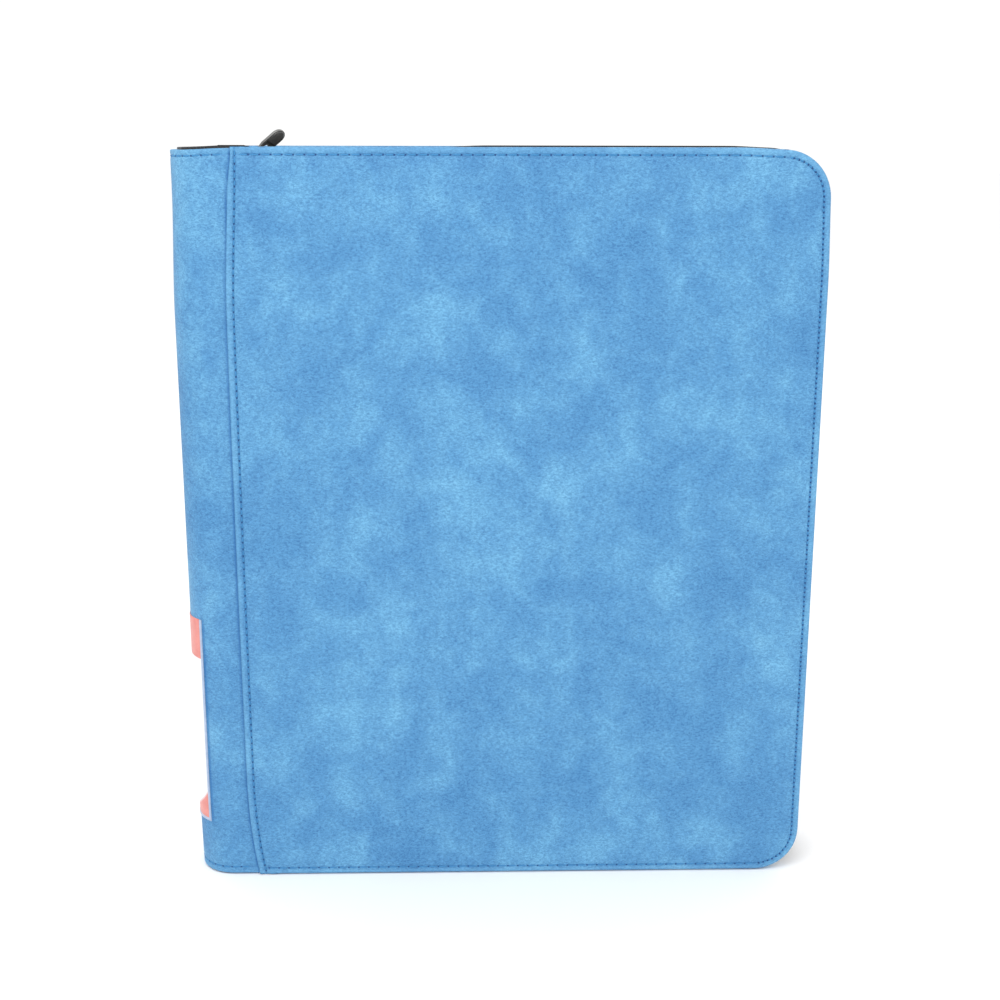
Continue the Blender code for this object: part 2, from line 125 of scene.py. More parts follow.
# Stitches
THREAD_R = 0.00031
THREAD_RISE = 0.00022  # a stitch's middle above the leather
THREAD_DIVE = 0.0009  # its first end below the leather
# The dark of the needle hole is painted shade on the thread's last end.
HOLE_LENGTH = 0.0007  # its last end is wide, low and dark, as a needle hole
HOLE_FADE = 0.0003
HOLE_SINK = 0.00004
HOLE_SWELL = 0.40
LONG_PITCH = 0.0048
SHORT_PITCH = 0.0023
SEAM_PITCH = 0.0032
STITCH_GAP = 0.0001  # between one stitch and the next
HEM_RISE = 0.0006  # the strip's top row lies nearer its edge

# Zip
TOOTH_PITCH = 0.0015
PULL_LEAN = 40.0
PULL_TWIST = 31.0


def smooth(t):
    t = max(0.0, min(1.0, t))
    return t * t * (3 - 2 * t)


def bell(t):
    return math.exp(-t * t)


def srgb(red, green, blue):
    """A colour as 8-bit sRGB values, turned into linear light."""
    made = []
    for value in (red, green, blue):
        value /= 255
        made.append(value / 12.92 if value <= 0.04045 else ((value + 0.055) / 1.055) ** 2.4)
    return (*made, 1.0)


# ---------------------------------------------------------------- camera and stage


def make_camera():
    yaw, pitch, roll = math.radians(1.45), math.radians(14.22), math.radians(0.12)
    forward = Vector((math.sin(yaw) * math.cos(pitch), math.cos(yaw) * math.cos(pitch), -math.sin(pitch)))
    level = Vector((math.cos(yaw), -math.sin(yaw), 0.0))
    above = level.cross(forward)
    right = level * math.cos(roll) + above * math.sin(roll)
    up = above * math.cos(roll) - level * math.sin(roll)
    data = bpy.data.cameras.new("camera")
    data.sensor_width = 36.0
    data.lens = 52.92
    made = bpy.data.objects.new("camera", data)
    bpy.context.scene.collection.objects.link(made)
    turned = Matrix((right, up, -forward)).transposed().to_4x4()
    made.matrix_world = Matrix.Translation((-0.0151, -0.6731, 0.3532)) @ turned
    bpy.context.scene.camera = made


def make_stage():
    scene = bpy.context.scene
    scene.view_settings.view_transform = "Standard"
    world = bpy.data.worlds.new("studio")
    world.use_nodes = True
    background = world.node_tree.nodes["Background"]
    background.inputs["Color"].default_value = (1.0, 1.0, 1.0, 1.0)
    background.inputs["Strength"].default_value = 1.05
    scene.world = world
    size = 12.0
    mesh = bpy.data.meshes.new("floor")
    corners = [(-size, -size, 0), (size, -size, 0), (size, size, 0), (-size, size, 0)]
    mesh.from_pydata(corners, [], [(0, 1, 2, 3)])
    floor = bpy.data.objects.new("floor", mesh)
    floor.location.z = -0.0004
    scene.collection.objects.link(floor)
    made = bpy.data.materials.new("pale_floor")
    made.use_nodes = True
    shader = made.node_tree.nodes["Principled BSDF"]
    shader.inputs["Base Color"].default_value = (0.97, 0.97, 0.97, 1.0)
    shader.inputs["Roughness"].default_value = 0.8
    mesh.materials.append(made)
    for name, place, size, power in (
        ("key", (-0.25, -0.80, 1.15), 0.7, 7.0),
        ("fill", (1.4, -1.2, 1.1), 1.4, 3.0),
        ("rim", (0.3, 1.8, 1.6), 1.5, 6.0),
    ):
        data = bpy.data.lights.new(name, "AREA")
        data.size = size
        data.energy = power
        lamp = bpy.data.objects.new(name, data)
        lamp.location = place
        aim = Vector((0.0, 0.0, 0.20)) - Vector(place)
        lamp.rotation_mode = "QUATERNION"
        lamp.rotation_quaternion = aim.to_track_quat("-Z", "Y")
        scene.collection.objects.link(lamp)


# ---------------------------------------------------------------- materials


class Look:
    """A node material: its tree, its shader and its object coordinates."""

    def __init__(self, name, values):
        self.made = bpy.data.materials.new(name)
        self.made.use_nodes = True
        self.tree = self.made.node_tree
        self.shader = self.tree.nodes["Principled BSDF"]
        for key, value in values.items():
            self.shader.inputs[key].default_value = value
        self.place = self.tree.nodes.new("ShaderNodeTexCoord").outputs["Object"]

    def link(self, source, target):
        self.tree.links.new(source, target)
        return source

    def scaled(self, factors):
        """Coordinates stretched by a factor for each axis."""
        node = self.tree.nodes.new("ShaderNodeMapping")
        node.inputs["Scale"].default_value = factors
        self.link(self.place, node.inputs["Vector"])
        return node.outputs["Vector"]

    def noise(self, scale, detail=3.0, rough=0.5, distortion=0.0, vector=None):
        node = self.tree.nodes.new("ShaderNodeTexNoise")
        node.inputs["Scale"].default_value = scale
        node.inputs["Detail"].default_value = detail
        node.inputs["Roughness"].default_value = rough
        node.inputs["Distortion"].default_value = distortion
        self.link(vector or self.place, node.inputs["Vector"])
        return node.outputs[0]

    def cells(self, scale):
        node = self.tree.nodes.new("ShaderNodeTexVoronoi")
        node.inputs["Scale"].default_value = scale
        self.link(self.place, node.inputs["Vector"])
        return node.outputs["Distance"]

    def wave(self, scale, direction, distortion):
        node = self.tree.nodes.new("ShaderNodeTexWave")
        node.bands_direction = direction
        node.inputs["Scale"].default_value = scale
        node.inputs["Distortion"].default_value = distortion
        self.link(self.place, node.inputs["Vector"])
        return node.outputs["Fac"]

    def attribute(self, name):
        node = self.tree.nodes.new("ShaderNodeAttribute")
        node.attribute_name = name
        return node.outputs["Fac"]

    def math(self, operation, first, second=None):
        node = self.tree.nodes.new("ShaderNodeMath")
        node.operation = operation
        for socket, value in zip(node.inputs, (first, second)):
            if isinstance(value, (int, float)):
                socket.default_value = value
            elif value is not None:
                self.link(value, socket)
        return node.outputs[0]

    def ranged(self, value, low, high, to_low, to_high):
        node = self.tree.nodes.new("ShaderNodeMapRange")
        for key, number in (("From Min", low), ("From Max", high), ("To Min", to_low), ("To Max", to_high)):
            node.inputs[key].default_value = number
        self.link(value, node.inputs["Value"])
        return node.outputs["Result"]

    def ramp(self, value, stops):
        node = self.tree.nodes.new("ShaderNodeValToRGB")
        elements = node.color_ramp.elements
        while len(elements) < len(stops):
            elements.new(0.5)
        for element, (position, color) in zip(elements, stops):
            element.position = position
            element.color = color
        self.link(value, node.inputs["Fac"])
        return node.outputs["Color"]

    def mix(self, factor, first, second, blend="MIX"):
        node = self.tree.nodes.new("ShaderNodeMix")
        node.data_type = "RGBA"
        node.blend_type = blend
        for socket, value in ((node.inputs[0], factor), (node.inputs[6], first), (node.inputs[7], second)):
            if isinstance(value, (int, float, tuple)):
                socket.default_value = value
            else:
                self.link(value, socket)
        return node.outputs[2]

    def bump(self, height, strength, distance, under=None):
        node = self.tree.nodes.new("ShaderNodeBump")
        node.inputs["Strength"].default_value = strength
        node.inputs["Distance"].default_value = distance
        self.link(height, node.inputs["Height"])
        if under:
            self.link(under, node.inputs["Normal"])
        return node.outputs["Normal"]

    def color(self, source):
        self.link(source, self.shader.inputs["Base Color"])

    def normal(self, source):
        self.link(source, self.shader.inputs["Normal"])

    def roughness(self, source):
        self.link(source, self.shader.inputs["Roughness"])


def leather_look():
    look = Look("sky_blue_leather", {"Specular IOR Level": 0.35})
    clouds = look.noise(30.0, 8.0, 0.60, 0.25)
    wisps = look.noise(62.0, 6.0, 0.66, 0.35, look.scaled((1.0, 1.0, 0.8)))
    value = look.math("ADD", look.math("MULTIPLY", clouds, 0.52), look.math("MULTIPLY", wisps, 0.48))
    stops = [
        (0.36, srgb(78, 140, 188)),
        (0.45, srgb(86, 148, 194)),
        (0.52, srgb(95, 157, 200)),
        (0.60, srgb(107, 169, 208)),
        (0.70, srgb(120, 181, 216)),
    ]
    color = look.ramp(value, stops)
    grain = look.noise(820.0, 2.5, 0.75, 0.9, look.scaled((0.85, 1.0, 1.5)))
    speck = look.ramp(grain, [(0.36, (0.44, 0.55, 0.66, 1.0)), (0.62, (1.0, 1.0, 1.0, 1.0))])
    color = look.mix(0.95, color, speck, "MULTIPLY")
    # Painted shade: darker leather in the stitch grooves, along the seam, left of the cover's fold and beside
    # the label's raised border.
    color = look.mix(look.attribute("painted_shade"), color, srgb(22, 92, 156))
    # Paler rolled edges: partly wear, partly painted highlight.
    color = look.mix(look.attribute("wear_and_highlight"), color, srgb(110, 168, 206))
    look.color(color)
    look.roughness(look.ranged(clouds, 0.35, 0.68, 0.62, 0.48))
    pebbles = look.cells(820.0)
    fine = look.bump(grain, 0.6, 0.00030)
    look.normal(look.bump(pebbles, 0.2, 0.00018, fine))
    return look.made


def thread_look():
    look = Look("blue_thread", {"Roughness": 0.55})
    twist = look.wave(900.0, "DIAGONAL", 0.4)
    color = look.ramp(twist, [(0.0, srgb(46, 120, 172)), (1.0, srgb(66, 142, 194))])
    # Painted shade: the thread's needle-hole end is painted dark.
    look.color(look.mix(look.attribute("hole_and_painted_shade"), color, srgb(0, 62, 120)))
    look.normal(look.bump(twist, 0.6, 0.0001))
    return look.made


def woven_look(name, dark, light, pitch):
    """Plain weave: crossed waves whose crests are the yarns."""
    look = Look(name, {"Roughness": 0.85, "Sheen Weight": 0.25})
    across, along, through = [look.wave(pitch, axis, 0.3) for axis in ("X", "Z", "Y")]
    weave = look.math("ADD", look.math("MULTIPLY", across, along), look.math("MULTIPLY", through, 0.35))
    fuzz = look.noise(pitch * 2.5, 3.0, 0.6)
    value = look.math("ADD", look.math("MULTIPLY", weave, 0.6), look.math("MULTIPLY", fuzz, 0.5))
    look.color(look.ramp(value, [(0.15, dark), (0.9, light)]))
    look.normal(look.bump(value, 0.5, 0.0002))
    return look.made


def nylon_look():
    look = Look("black_nylon", {"Roughness": 0.38, "Specular IOR Level": 0.5})
    grain = look.noise(700.0, 2.0)
    look.color(look.ramp(grain, [(0.3, srgb(20, 20, 23)), (0.7, srgb(38, 38, 42))]))
    look.roughness(look.ranged(grain, 0.3, 0.7, 0.3, 0.5))
    look.normal(look.bump(grain, 0.2, 0.0001))
    return look.made


def metal_look():
    look = Look("gunmetal", {"Metallic": 0.3})
    brushed = look.noise(420.0, 5.0, 0.6, 0.0, look.scaled((0.25, 3.0, 0.25)))
    worn = look.noise(160.0, 3.0, 0.5)
    color = look.ramp(brushed, [(0.3, srgb(100, 100, 98)), (0.7, srgb(130, 130, 128))])
    look.color(look.mix(look.ranged(worn, 0.55, 0.75, 0.0, 0.5), color, srgb(116, 116, 112)))
    look.roughness(look.ranged(brushed, 0.3, 0.7, 0.3, 0.5))
    look.normal(look.bump(brushed, 0.15, 0.0001))
    return look.made


def label_look():
    """Coral print with a plain white panel, by height on the card."""
    look = Look("printed_label", {"Roughness": 0.42, "Coat Weight": 0.25, "Coat Roughness": 0.2})
    parts = look.tree.nodes.new("ShaderNodeSeparateXYZ")
    look.link(look.place, parts.inputs[0])
    ink = look.noise(260.0, 4.0, 0.6)
    ragged = look.math("ADD", parts.outputs["Z"], look.ranged(ink, 0.0, 1.0, -0.00008, 0.00008))
    square = look.math("MULTIPLY", parts.outputs["Y"], parts.outputs["Y"])
    bowl = look.math("SQRT", look.math("SUBTRACT", BOWL_R**2, square))
    low = look.math("SUBTRACT", LABEL_LOW + 0.0040 + BOWL_R, bowl)
    high = look.math("ADD", look.math("MULTIPLY", square, -3.0), LABEL_HIGH - 0.0189)
    above = look.ranged(look.math("SUBTRACT", ragged, low), -0.0002, 0.0016, 0.0, 1.0)
    below = look.math("LESS_THAN", ragged, high)
    coral = look.ramp(ink, [(0.3, srgb(206, 118, 110)), (0.7, srgb(218, 134, 126))])
    white = look.ramp(ink, [(0.3, srgb(222, 222, 225)), (0.7, srgb(232, 232, 234))])
    look.color(look.mix(look.math("MULTIPLY", above, below), coral, white))
    look.normal(look.bump(ink, 0.08, 0.0001))
    return look.made


def film_look():
    """Clear pocket film lying on the black sheet."""
    look = Look("pocket_film", {"Coat Weight": 1.0, "Coat Roughness": 0.06, "Specular IOR Level": 0.6})
    ripple = look.noise(55.0, 3.0, 0.5, 0.5, look.scaled((1.0, 1.0, 0.4)))
    haze = look.noise(260.0, 4.0, 0.6)
    look.color(look.ramp(haze, [(0.3, srgb(30, 31, 35)), (0.75, srgb(44, 45, 50))]))
    look.roughness(look.ranged(haze, 0.3, 0.7, 0.16, 0.3))
    look.normal(look.bump(ripple, 0.35, 0.0012))
    return look.made


def plain_look(name, values, scale, detail, dark, light, strength):
    """One noise that gives both the colour and a shallow bump."""
    look = Look(name, values)
    grain = look.noise(scale, detail, 0.6)
    look.color(look.ramp(grain, [(0.3, dark), (0.7, light)]))
    look.normal(look.bump(grain, strength, 0.0001))
    return look.made


# ---------------------------------------------------------------- mesh helpers


def piece(name, points, faces, looks, kinds=None, attributes=None, sharp=50.0):
    """A closed mesh object. Kinds gives each face's material number, attributes a number for each point."""
    mesh = bpy.data.meshes.new(name)
    mesh.from_pydata(points, [], faces)
    for look in looks:
        mesh.materials.append(look)
    if kinds:
        mesh.polygons.foreach_set("material_index", kinds)
    for word, values in (attributes or {}).items():
        made = mesh.attributes.new(word, "FLOAT", "POINT")
        made.data.foreach_set("value", values)
    shape = bmesh.new()
    shape.from_mesh(mesh)
    bmesh.ops.recalc_face_normals(shape, faces=shape.faces)
    shape.to_mesh(mesh)
    shape.free()
    mesh.shade_smooth()
    mesh.set_sharp_from_angle(angle=math.radians(sharp))
    made = bpy.data.objects.new(name, mesh)
    bpy.context.scene.collection.objects.link(made)
    return made


def graded(start, end, first, growth, largest):
    """Places from start to end in steps that grow from the first one."""
    sign = 1 if end > start else -1
    places, step = [start], first
    while abs(end - places[-1]) > step * 1.5:
        places.append(places[-1] + sign * step)
        step = min(step * growth, largest)
    return places + [end]


def evenly(start, end, step):
    count = max(1, round(abs(end - start) / step))
    return [start + (end - start) * k / count for k in range(count + 1)]


def slab(us, vs, outer, inner):
    """Points and faces of a closed sheet over a grid: outer and inner give a point for each (u, v)."""
    points = [outer(u, v) for u in us for v in vs] + [inner(u, v) for u in us for v in vs]
    wide, tall = len(us), len(vs)
    half = wide * tall

    def at(i, k, side):
        return side * half + i * tall + k

    faces = []
    for i in range(wide - 1):
        for k in range(tall - 1):
            for side in (0, 1):
                faces.append((at(i, k, side), at(i + 1, k, side), at(i + 1, k + 1, side), at(i, k + 1, side)))
    for i in range(wide - 1):
        for k in (0, tall - 1):
            faces.append((at(i, k, 0), at(i + 1, k, 0), at(i + 1, k, 1), at(i, k, 1)))
    for k in range(tall - 1):
        for i in (0, wide - 1):
            faces.append((at(i, k, 0), at(i, k + 1, 0), at(i, k + 1, 1), at(i, k, 1)))
    return points, faces


def corner(centre_z, first):
    stations = []
    for k in range(1, CORNER_STEPS):
        angle = math.radians(first - 90.0 * k / CORNER_STEPS)
        out = (math.cos(angle), math.sin(angle))
        place = (X_FORE - CORNER_R + CORNER_R * out[0], centre_z + CORNER_R * out[1])
        stations.append((place, (-out[0], -out[1])))
    return stations


def outline(columns, rows):
    """Stations round the top, the fore-edge and the bottom: a point and its inward direction."""
    stations = [((x, HEIGHT), (0.0, -1.0)) for x in columns]
    stations += corner(HEIGHT - CORNER_R, 90.0)
    stations += [((X_FORE, z), (-1.0, 0.0)) for z in rows]
    stations += corner(CORNER_R, 0.0)
    stations += [((x, 0.0), (0.0, 1.0)) for x in reversed(columns)]
    return stations


def surface(columns, rows, insets, place):
    """Points, faces and boundary of one face of a cover: rings inside each other round a grid."""
    path = outline(columns, rows)
    points, faces, rings = [], [], []
    for inset in insets:
        rings.append([])
        for (x, z), (nx, nz) in path:
            rings[-1].append(len(points))
            points.append(place(x + nx * inset, z + nz * inset, inset))
    grid = []
    for x in columns:
        grid.append([])
        for z in rows:
            grid[-1].append(len(points))
            points.append(place(x, z, min(HEIGHT - z, z, X_FORE - x)))
    turn = CORNER_STEPS - 1
    inner = [line[0] for line in grid] + [grid[-1][0]] * turn + grid[-1]
    inner += [grid[-1][-1]] * turn + [line[-1] for line in reversed(grid)]
    for first, second in zip(rings, rings[1:] + [inner]):
        for k in range(len(path) - 1):
            face = [first[k], first[k + 1], second[k + 1], second[k]]
            faces.append(tuple(dict.fromkeys(face)))
    for first, second in zip(grid, grid[1:]):
        for k in range(len(rows) - 1):
            faces.append((first[k], second[k], second[k + 1], first[k + 1]))
    border = rings[0] + [ring[-1] for ring in rings[1:]] + grid[0][::-1]
    border += [ring[0] for ring in reversed(rings[1:])]
    return points, [face for face in faces if len(face) > 2], border


def cover_solid(columns, rows, insets, outer, inner):
    """A closed plate of a cover's outline between two faces."""
    points, faces, border = surface(columns, rows, insets, outer)
    more, other, _ = surface(columns, rows, insets, inner)
    start = len(points)
    points += more
    faces += [tuple(start + k for k in face) for face in other]
    for first, second in zip(border, border[1:] + border[:1]):
        faces.append((first, second, start + second, start + first))
    return points, faces


def tube_faces(start, rings, sides):
    """Faces of a closed tube: rings of points one after another from number start, capped at both ends."""
    faces = []
    for k in range(rings - 1):
        for m in range(sides):
            n = (m + 1) % sides
            a, b = start + k * sides, start + (k + 1) * sides
            faces.append((a + m, a + n, b + n, b + m))
    faces.append(tuple(range(start, start + sides)))
    faces.append(tuple(range(start + (rings - 1) * sides, start + rings * sides)))
    return faces


# ---------------------------------------------------------------- shape of the covers and the spine


def warp(x, z):
    """The sewn shape's small irregularities, which every piece of a cover shares."""
    s = x - X_SEAM
    near = 1 - smooth(abs(s) / 0.05)
    drift = DRIFT_LOW * max(0.0, 1 - z / 0.05) ** 2 + DRIFT_HIGH * smooth((z - HEIGHT + 0.075) / 0.08)
    drift -= BOW * math.sin(math.pi * max(0.0, min(1.0, z / HEIGHT)))
    narrow = FOLD_NARROWS * smooth(-s / FOLD) * smooth((z - HEIGHT + 0.020) / 0.018)
    bulge = BULGE * smooth(x / X_FORE) * smooth((HEIGHT - 0.010 - z) / 0.05)
    droop = DROOP * smooth((x - X_FORE + 0.040) / 0.022) * smooth((z - HEIGHT + 0.06) / 0.06)
    return x + drift * near + narrow + bulge, z - droop


def roll(inset, radius):
    """Depth of a rounded edge below the face it leads to."""
    if inset >= radius:
        return 0.0
    return radius - math.sqrt(max(0.0, radius * radius - (radius - inset) ** 2))


def stitch_dip(distance):
    return 0.00026 * bell(distance / 0.00040) + 0.00014 * bell(distance / 0.0016)


def cover_depth(x, z, inset, phase):
    """Depth of the cover's outer face below its highest plane."""
    s = x - X_SEAM
    radius = FLAP_ROLL + (EDGE_ROLL - FLAP_ROLL) * smooth((s - 0.003) / 0.005)
    depth = roll(inset, radius) + stitch_dip(inset - STITCH_INSET)
    depth += 0.00022 * (1 - smooth(inset / 0.011))
    depth += roll(s + FOLD, 0.0007) + 0.00058 * bell(s / 0.00052) + 0.00022 * bell(s / 0.0019)
    depth += 0.00020 * (1 - smooth((s + FOLD) / 0.015))
    swell = noise.noise(Vector((x * 22, z * 22, phase)))
    swell += 0.5 * noise.noise(Vector((x * 55, z * 55, phase + 5)))
    calm = smooth(inset / 0.012) * smooth((s - 0.004) / 0.02)
    return depth + WAVE * (1 + swell) * calm


def strip_frame(run):
    """Outer point and inward direction on the strip, run metres round the spine from the front seam."""
    if run > STRIP_RUN / 2:
        (x, y), (nx, ny) = strip_frame(STRIP_RUN - run)
        return (x, -y), (nx, -ny)
    if run <= FLAT_RUN:
        return (X_SEAM - run, -Y_STRIP), (0.0, 1.0)
    if run <= FLAT_RUN + ARC_RUN:
        angle = (run - FLAT_RUN) / SPINE_R
        out = (-math.sin(angle), -math.cos(angle))
        return (X_ARC + SPINE_R * out[0], -Y_ARC + SPINE_R * out[1]), (-out[0], -out[1])
    return (X_SPINE, -Y_ARC + run - FLAT_RUN - ARC_RUN), (1.0, 0.0)


def pinch(z):
    """How far the spine is drawn towards the covers at a height."""
    return PINCH_HIGH * smooth((z - HEIGHT + 0.075) / 0.06) + PINCH_LOW * max(0.0, 1 - z / 0.06) ** 2


def crease_thins(run, z):
    """How much thinner the strip is round its crease, where it has no board inside."""
    thinner = CREASE_THINNER + 0.4 * pinch(z)
    return thinner * smooth((run - 0.0120) / 0.004) * (1 - smooth((run - CREASE_AT - 0.003) / 0.004))


def strip_place(run, depth, z, side):
    """A point on the strip. Side -1 is the front half, 1 the back half."""
    (x, y), (nx, ny) = strip_frame(run)
    sag = SAG * smooth(run / 0.026) * smooth((z - HEIGHT + 0.03) / 0.03)
    return (x + nx * depth + pinch(z), -side * (y + ny * depth), z - sag)


def strip_bend(thing, side):
    """Bakes a piece of the strip in place and works out where a bend round its crease on that side would
    start and end, but does not bend it.
    """
    (x, y), _ = strip_frame(CREASE_AT)
    (x2, y2), _ = strip_frame(CREASE_AT - 0.001)
    along = Vector((x2 - x, y2 - y, 0)).normalized() * BEND_REACH
    crease = Vector((x, y, HEIGHT / 2))
    start, end = crease - along, crease + along
    for point in (start, end):
        point.y *= -side
    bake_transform(thing)
    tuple(start)
    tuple(end)


def make_cover(side, word, body, leather):
    """The leather of a cover and all that it hides. It lies on the strip beside its seam."""
    columns = graded(X_SEAM, X_SEAM - FOLD, 0.00016, 1.12, 0.00035)[::-1][:-1]
    columns += graded(X_SEAM, X_FORE - CORNER_R, 0.00016, 1.13, 0.004)
    rows = evenly(HEIGHT - CORNER_R, CORNER_R, 0.004)
    insets = graded(STITCH_INSET, 0.0, 0.00016, 1.06, 0.00028)[::-1][:-1]
    insets += graded(STITCH_INSET, CORNER_R, 0.00016, 1.25, 0.003)[:-1]
    wear_and_highlight, painted_shade = [], []

    def outer(x, z, inset):
        wx, wz = warp(x, z)
        s = x - X_SEAM
        rim = max(bell((inset - 0.0012) / 0.0011), bell((s + FOLD - 0.0009) / 0.0008))
        # Wear and painted highlight on the rolled rims; painted shade in the stitch groove round the edge and
        # along the seam.
        wear_and_highlight.append(WEAR_AND_HIGHLIGHT * rim)
        painted_shade.append(0.20 * max(bell((inset - STITCH_INSET) / 0.00035), bell(s / 0.0004)))
        return (wx, side * (HALF - cover_depth(x, z, inset, 3.0 * side)), wz)

    def inner(x, z, inset):
        wx, wz = warp(x, z)
        deep = FLAP if x < X_SEAM + UNDERLAP + FRAME_GAP else COVER_INNER
        deep -= 0.00035 * max(0.0, 1 - inset / 0.0008) ** 2
        wear_and_highlight.append(0.0)
        painted_shade.append(0.0)
        return (wx, side * (HALF - deep), wz)

    points, faces = cover_solid(columns, rows, insets, outer, inner)
    made = piece("cover_leather_" + word, points, faces, [leather], None, {"wear_and_highlight": wear_and_highlight, "painted_shade": painted_shade})
    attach(made, body)
    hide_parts("cover_skin_" + word, "padding_" + word, "board_" + word)


def make_lining(side, word, body, fabric):
    """Lining of a cover. It stands just past the leather as a thin dark line, but not beside the spine."""
    proud = -0.0003 if side > 0 else 0.0002
    columns = evenly(X_SEAM - 0.0135, X_FORE - CORNER_R, 0.004)
    rows = evenly(HEIGHT - CORNER_R, CORNER_R, 0.006)
    insets = [proud, proud + 0.00015, proud + 0.0004, 0.003, 0.010]

    def face(depth, into):
        def place(x, z, inset):
            wx, wz = warp(x, z)
            rim = 0.00025 * max(0.0, 1 - (inset - proud) / 0.0004) ** 2
            puff = 0.00010 * noise.noise(Vector((x * 40, z * 40, side))) * into
            short = smooth((x - X_SEAM + 0.002) / 0.006) * (1 - smooth((x + 0.034) / 0.030)) * max(0, side)
            short *= 0.0010 * smooth((z - HEIGHT + 0.006) / 0.005)
            return (wx, side * (HALF - depth + into * rim + puff), max(0.0, wz - short))
        return place

    points, faces = cover_solid(columns, rows, insets, face(LINING_AT, -1), face(LINING_AT + LINING, 1))
    made = piece("cover_lining_" + word, points, faces, [fabric])
    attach(made, body)
    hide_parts("lining_" + word)


def hem_levels():
    """Heights up the strip, close together at its hems."""
    row = STRIP_LOW + STITCH_INSET
    ends = graded(row, STRIP_LOW, 0.00016, 1.1, 0.0003)[::-1][:-1]
    ends += graded(row, STRIP_LOW + 0.020, 0.00016, 1.25, 0.003)
    middle = evenly(STRIP_LOW + 0.020, STRIP_HIGH - 0.020, 0.004)[1:-1]
    return ends + middle + [STRIP_HIGH - (z - STRIP_LOW) for z in reversed(ends)]


def make_spine(side, word, leather, fabric):
    """Half of the leather strip round the spine, and the lining behind it."""
    runs = [-UNDERLAP, -0.004, -0.002, 0.0] + evenly(0.001, STRIP_RUN / 2, 0.0011)
    levels = hem_levels()
    wear_and_highlight, painted_shade = [], []

    def outer(run, z):
        inset = min(z - STRIP_LOW, STRIP_HIGH - z)
        fold = run + warp(X_SEAM - FOLD, z)[0] - pinch(z) - X_SEAM
        shade = bell((fold - 0.0001) / 0.0007)
        beside = (run - CREASE_AT + 0.0003) / 0.0008
        lift = smooth((z - LABEL_LOW) / 0.002) * smooth((LABEL_HIGH - z) / 0.002)
        row = z - STRIP_HIGH + STITCH_INSET - HEM_RISE if z > HEIGHT / 2 else inset - STITCH_INSET
        # Wear and painted highlight along the hems; painted shade in the stitch rows, as the fold's shadow
        # left of the cover, and as the shadow beside the label's raised border.
        wear_and_highlight.append(WEAR_AND_HIGHLIGHT * bell((inset - 0.0006) / 0.0007))
        painted_shade.append(min(0.9, 0.18 * bell(row / 0.00035) + 0.8 * shade + 0.6 * bell(beside) * lift))
        swell = 0.00012 * noise.noise(Vector((run * 60, z * 18, 9.0 * side)))
        depth = roll(inset, 0.0006) + stitch_dip(row) + swell * smooth(inset / 0.01)
        return strip_place(run, max(0.0, depth), z, side)

    def inner(run, z):
        inset = min(z - STRIP_LOW, STRIP_HIGH - z)
        wear_and_highlight.append(0.0)
        painted_shade.append(0.0)
        deep = STRIP_INNER - 0.0010 * smooth((run - 0.0075) / 0.005) - crease_thins(run, z)
        return strip_place(run, deep - 0.0003 * max(0.0, 1 - inset / 0.0008) ** 2, z, side)

    points, faces = slab(runs, levels, outer, inner)
    made = piece("spine_leather_" + word, points, faces, [leather], None, {"wear_and_highlight": wear_and_highlight, "painted_shade": painted_shade})
    strip_bend(made, side)
    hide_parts("spine_strip_" + word, *(["spine_skin", "spine_stiffener"] if side < 0 else []))

    runs = evenly(0.0145, STRIP_RUN / 2, 0.0012)
    levels = graded(0.0003, 0.010, 0.0002, 1.6, 0.004)[:-1] + evenly(0.010, HEIGHT - 0.010, 0.006)
    levels += [HEIGHT - 0.004, HEIGHT - 0.001, HEIGHT + 0.0002, HEIGHT + 0.0004]

    def cloth(depth, into):
        def place(run, z):
            rim = 0.0002 if z in (levels[0], levels[-1]) else 0.0
            flare = 0.0026 * smooth((z - HEIGHT + 0.03) / 0.02) * (1 - smooth((run - 0.0145) / 0.02))
            return strip_place(run - flare, depth + into * rim - crease_thins(run, z), z, side)
        return place

    points, faces = slab(runs, levels, cloth(LINING_OUTER, 1), cloth(LINING_OUTER + LINING, -1))
    made = piece("spine_lining_" + word, points, faces, [fabric])
    strip_bend(made, side)
    if side < 0:
        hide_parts("spine_lining")


def make_label(side, word, looks):
    """Half of the printed card on the spine. A raised pale border runs round its sides and its bottom; its
    paleness is partly its own colour and partly a painted highlight on the ridge.
    """
    width = STRIP_RUN - 2 * (CREASE_AT + 0.0004)
    first = STRIP_RUN / 2 - width / 2
    runs = graded(first, first + BORDER, 0.00015, 1.2, 0.0004)
    runs += evenly(first + BORDER + 0.0002, STRIP_RUN / 2, 0.0011)
    ends = graded(LABEL_LOW, LABEL_LOW + BORDER, 0.00015, 1.2, 0.0004) + [LABEL_LOW + BORDER + 0.0002]
    levels = ends + evenly(ends[-1], LABEL_HIGH - 0.0004, 0.003)[1:] + [LABEL_HIGH]

    def outer(run, z):
        inset = min(run - first, z - LABEL_LOW)
        ridge = 0.00022 * (1 - smooth((inset - BORDER + 0.0003) / 0.0003))
        rim = roll(min(inset, LABEL_HIGH - z), 0.0002)
        return strip_place(run, rim - 0.00034 - ridge, z, side)

    def inner(run, z):
        return strip_place(run, -0.00008, z, side)

    points, faces = slab(runs, levels, outer, inner)
    tall = len(levels)
    kinds = []
    for face in faces:
        nodes = [k % (len(runs) * tall) for k in face]
        run = sum(runs[k // tall] for k in nodes) / len(nodes)
        z = sum(levels[k % tall] for k in nodes) / len(nodes)
        kinds.append(1 if min(run - first, z - LABEL_LOW) > BORDER else 0)
    made = piece("spine_label_" + word, points, faces, looks, kinds)
    strip_bend(made, side)
    if side < 0:
        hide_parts("spine_label")


# ---------------------------------------------------------------- stitches


